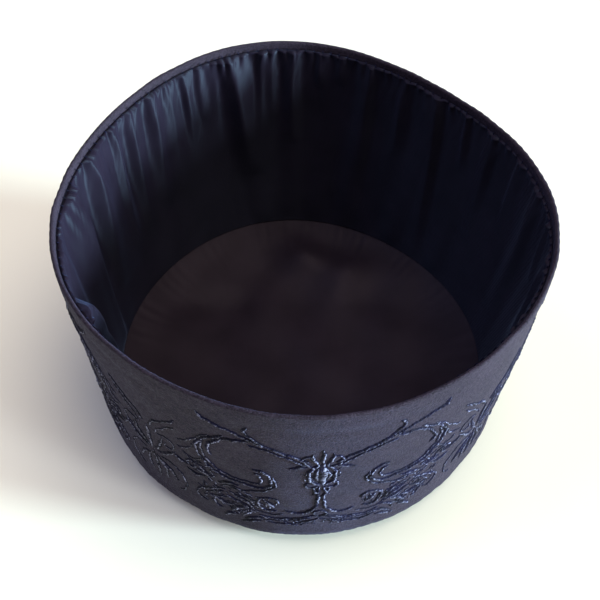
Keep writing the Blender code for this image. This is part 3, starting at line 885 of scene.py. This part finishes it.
def makeSideSatin():
    # rows run from behind the turned top edge, over it, and down to the seam with the round piece
    top, seamUp = capShape["height"] - sewing["satinTopBelowRim"], sewing["satinSeamHeight"]
    seamInset = sewing["satinSeamInset"]
    flat = sewing["hemWall"] + satinForm["standOff"]
    edgeIn, edgeUp, puffIn, puffUp, foldIn, slideShare = edgeRows.T[..., None]
    down = top - 0.5 - (top - 0.5 - seamUp - 5.0) * np.linspace(0, 1, satinForm["rows"]) ** 1.35
    footShare, footUp = footRows.T[..., None]
    angle = foldColumns(satinForm["columns"])[None, :]
    below = np.maximum(top - down, 0)[:, None]
    depth, slide = foldField(angle, below)
    puff = np.abs(np.sin(stitchCount / 2 * angle + stitchDrift(angle))) ** 0.8
    puff = puff * (0.8 + 0.35 * ripple(angle, 0, 34, (25, 60), 5)) * (1 - 0.85 * atFront(angle))
    fine = satinForm["gather"] * ripple(angle, below, 32, (60, 130), 9, 0.002)
    fine = fine * np.exp(-below / satinForm["gatherReach"])
    drawnIn = (seamInset - 0.5 - flat - 0.35) * np.clip((below - 25) / (below[-1] - 25), 0, 1) ** 1.3
    loose = satinForm["drag"] * ripple(angle, below, 33, (10, 40), 8, 0.0015) * (1 - np.exp(-below / 10.0))
    face = flat + 0.35 + drawnIn + depth + np.maximum(fine + loose, -0.3)
    face = face + satinForm["puff"] * puff * np.exp(-below / satinForm["puffReach"])
    edgeInsets = flat + edgeIn + puffIn * puff + 0.45 * depth[:1] * foldIn
    edgeHeights = top + edgeUp + puffUp * (puff - 0.5) - 0.8 * atFront(angle)
    footInsets = face[-1:] * (1 - footShare) + seamInset * footShare
    insets = np.concatenate([edgeInsets, face, footInsets])
    ups = np.concatenate([edgeHeights, np.broadcast_to(down[:, None], face.shape),
                          np.broadcast_to(seamUp + footUp, footInsets.shape)])
    slides = np.concatenate([slide[:1] * slideShare, slide, slide[-1:] * (1 - footShare)])
    points = wallPoint(angle, insets, ups, slides)
    faces, spots = roundGrid(len(insets), satinForm["columns"])
    runs = lengthAlong(np.stack([insets[:, 0], ups[:, 0]], -1))
    uv = aroundUv(spots[:, ::-1], angle[0], runs)
    return addMesh("gathered_satin", points.reshape(-1, 3), faces[:, ::-1], sideSatin, uv)


stitchForm = {
    "thickness": 0.45, "length": 1.7, "slant": 0.9, "sides": 6, "rings": 7,
    "bow": 0.45, "lowEnd": 0.45,      # how far a stitch stands off in its middle, and at its low end
}


def makeHemStitches():
    # short slanted stitches that hold the satin's top edge to the hem, all in one mesh
    dice, count = np.random.default_rng(51), stitchCount
    base = np.arange(count) / count * turn
    base = (base - stitchDrift(base) / (count / 2))[:, None, None]
    share = np.linspace(-1, 1, stitchForm["rings"])[None, :, None]
    around = evenRound(stitchForm["sides"])[None, None, :]
    radius = stitchForm["thickness"] / 2 * np.sqrt(np.maximum(0.03, 1 - share ** 4)) * np.ones_like(around)
    length = stitchForm["length"] * dice.uniform(0.8, 1.2, count)[:, None, None]
    up = capShape["height"] - sewing["satinTopBelowRim"] + 0.1 + share * length / 2
    up = up + radius * np.sin(around) * 0.3
    angle = base + (share * stitchForm["slant"] / 2 + radius * np.cos(around)) / capShape["arcPerRadian"]
    inset = sewing["hemWall"] + 0.35 + stitchForm["bow"] * (1 - share ** 2)
    inset = inset + stitchForm["lowEnd"] * (1 - share) / 2
    inset = inset + radius * np.sin(around)
    points = wallPoint(angle, inset, up).reshape(count, -1, 3)
    one = tubeFaces(stitchForm["rings"], stitchForm["sides"])
    triangles = (one[None] + np.arange(count)[:, None, None] * points.shape[1]).reshape(-1, 3)
    grid = (count, stitchForm["rings"], stitchForm["sides"])
    lengthwise = np.broadcast_to(share * length / 2, grid).reshape(-1)
    roundwise = np.broadcast_to(around, grid).reshape(-1)
    uv = np.stack([lengthwise[triangles], roundwise[triangles] * 0.25], -1) * mm
    # the stitches get one even, low value of painted light: mostly the thread's painted-shade tone
    relief = np.full((*triangles.shape, 2), 0.2)
    return addMesh("hem_stitches", points.reshape(-1, 3), triangles, thread, uv, relief)


floorForm = {"columns": 400, "rings": 84, "rest": 3.15, "looseLift": 1.2, "edgePower": 5, "crease": 0.35}
floorHumps = [
    {"start": (-12, 74), "end": (1, 58), "width": 9, "height": 3.0},
    {"start": (1, 58), "end": (18, 49), "width": 10, "height": 3.0},
    {"start": (18, 49), "end": (44, 47), "width": 11, "height": 2.6},
    {"start": (-54, 32), "end": (-29, 32), "width": 8, "height": -1.2},
    {"start": (-60, 4), "end": (-42, -40), "width": 18, "height": 1.6},
    {"start": (16, -50), "end": (52, -24), "width": 16, "height": 1.8},
]


def makeRoundSatin():
    # a disc on rings, lifted by humps along short lines and by faint creases, turned up at its edge
    columns, rings = floorForm["columns"], floorForm["rings"]
    angle = evenRound(columns)[None, :]
    edge = wallPoint(angle, sewing["satinSeamInset"] - 0.5, sewing["satinSeamHeight"] - 0.4)
    share = np.linspace(1, 0.01, rings)[:, None, None]
    spots = edge[..., :2] * share
    lift = np.full(spots.shape[:2], floorForm["looseLift"])
    for hump in floorHumps:
        start, run = np.array(hump["start"]), np.subtract(hump["end"], hump["start"])
        along = np.clip(((spots - start) @ run) / (run @ run), 0, 1)
        away = np.linalg.norm(spots - start - along[..., None] * run, axis=-1)
        lift += hump["height"] * np.exp(-(away / hump["width"]) ** 2)
    x, y = spots[..., 0], spots[..., 1]
    creases = np.sin(0.11 * x + 0.16 * y + 1.3 * np.sin(0.045 * x))
    creases = creases + np.sin(0.21 * x - 0.07 * y + 1.1 * np.sin(0.06 * y))
    lift += floorForm["crease"] * creases
    gather = 0.18 * ripple(angle, 0, 41, (50, 110), 6) * share[..., 0] ** 10
    rise = share[..., 0] ** floorForm["edgePower"]
    up = (floorForm["rest"] + lift) * (1 - rise) + edge[..., 2] * rise + gather * (1 - share[..., 0] ** 40)
    disc = np.dstack([x, y, np.maximum(up, floorForm["rest"] - 0.6)]).reshape(-1, 3)
    points = np.concatenate([disc, [[0, 0, up[-1].mean()]]])
    c, lastRing = np.arange(columns), (rings - 1) * columns
    fan = np.stack([lastRing + c, lastRing + (c + 1) % columns, np.full(columns, rings * columns)], -1)
    triangles = triangulate(roundGrid(rings, columns)[0], fan)
    return addMesh("round_satin_piece", points, triangles, roundSatin, points[triangles][..., :2] * mm)


gatheredSatin = makeSideSatin()
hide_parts("side_lining")
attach(gatheredSatin, "root")
roundPiece = makeRoundSatin()
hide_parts("crown_lining")
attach(roundPiece, "root")
hemStitches = makeHemStitches()
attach(hemStitches, "root")
print("satin and stitches made")

# Stage, light and camera

stageLook = {"floor": (0.76, 0.735, 0.59), "floorSize": 6.0}
lightTerms = ("azimuth", "elevation", "spread", "strength", "colour")
studioLights = {name: dict(zip(lightTerms, row)) for name, *row in (
    ("window_light", -11.0, 8.0, 12.0, 11.0, (0.79, 1.05, 1.22)),
    ("front_light", -30.0, 12.0, 12.0, 2.2, (0.86, 0.96, 1.16)),
    ("overhead_light", 0.0, 73.0, 46.0, 2.12, (1.08, 1.00, 0.95)),
    ("back_light", 172.0, 54.0, 40.0, 0.80, (0.66, 0.80, 1.32)),
)}
skyLight = {"strength": 0.25, "colour": (1.08, 0.93, 1.10)}
cameraSet = {
    "lookAt": (-0.00169, -0.00211, 0.0481), "distance": 0.50,      # in metres
    "elevation": 49.9, "fieldOfView": 27.36,
}


def makeStage():
    # a flat square with a hardly visible mottling
    half = stageLook["floorSize"] / 2 / mm
    corners = np.array([(-half, -half, 0), (half, -half, 0), (half, half, 0), (-half, half, 0)])
    bench = MaterialBench("pale_floor")
    mottle = bench.group(mottleGroup, bench.place(), Patch_size_mm=180.0)
    pale = np.array(stageLook["floor"])
    bench.feed(bench.ramp(mottle["Patches"], (0.3, tuple(pale * 0.995)), (0.7, tuple(pale))), "Base Color")
    bench.set(Roughness=0.9, Specular_IOR_Level=0.1)
    floor = addMesh("floor", corners, np.array([[0, 1, 2, 3]]), bench.material)


def softLight(name, look):
    # a wide, far light: spread is how large it looks from the cap, in degrees
    sun = bpy.data.lights.new(name, "SUN")
    sun.energy, sun.angle, sun.color = look["strength"], np.radians(look["spread"]), look["colour"]
    lamp = addObject(name, sun)
    azimuth, elevation = np.radians(look["azimuth"]), np.radians(look["elevation"])
    toLight = Vector((np.cos(azimuth) * np.cos(elevation), np.sin(azimuth) * np.cos(elevation),
                      np.sin(elevation)))
    lamp.rotation_euler = toLight.to_track_quat("Z", "Y").to_euler()


def makeSky():
    world = bpy.data.worlds.new("studio_sky")
    world.use_nodes = True
    background = world.node_tree.nodes["Background"]
    background.inputs["Color"].default_value = (*skyLight["colour"], 1)
    background.inputs["Strength"].default_value = skyLight["strength"]
    bpy.context.scene.world = world


def makeCamera():
    data = bpy.data.cameras.new("photo_view")
    data.angle = np.radians(cameraSet["fieldOfView"])
    data.clip_start, data.clip_end = 0.01, 20
    camera = addObject("photo_view", data)
    rise = np.radians(cameraSet["elevation"])
    back = Vector((0, -np.cos(rise), np.sin(rise)))
    camera.location = Vector(cameraSet["lookAt"]) + back * cameraSet["distance"]
    camera.rotation_euler = back.to_track_quat("Z", "Y").to_euler()
    bpy.context.scene.camera = camera


makeStage()
for name, look in studioLights.items():
    softLight(name, look)
makeSky()
makeCamera()
bpy.context.scene.view_settings.view_transform = "Standard"
bpy.context.scene.view_settings.gamma = 1.0
print("stage, light and camera made")
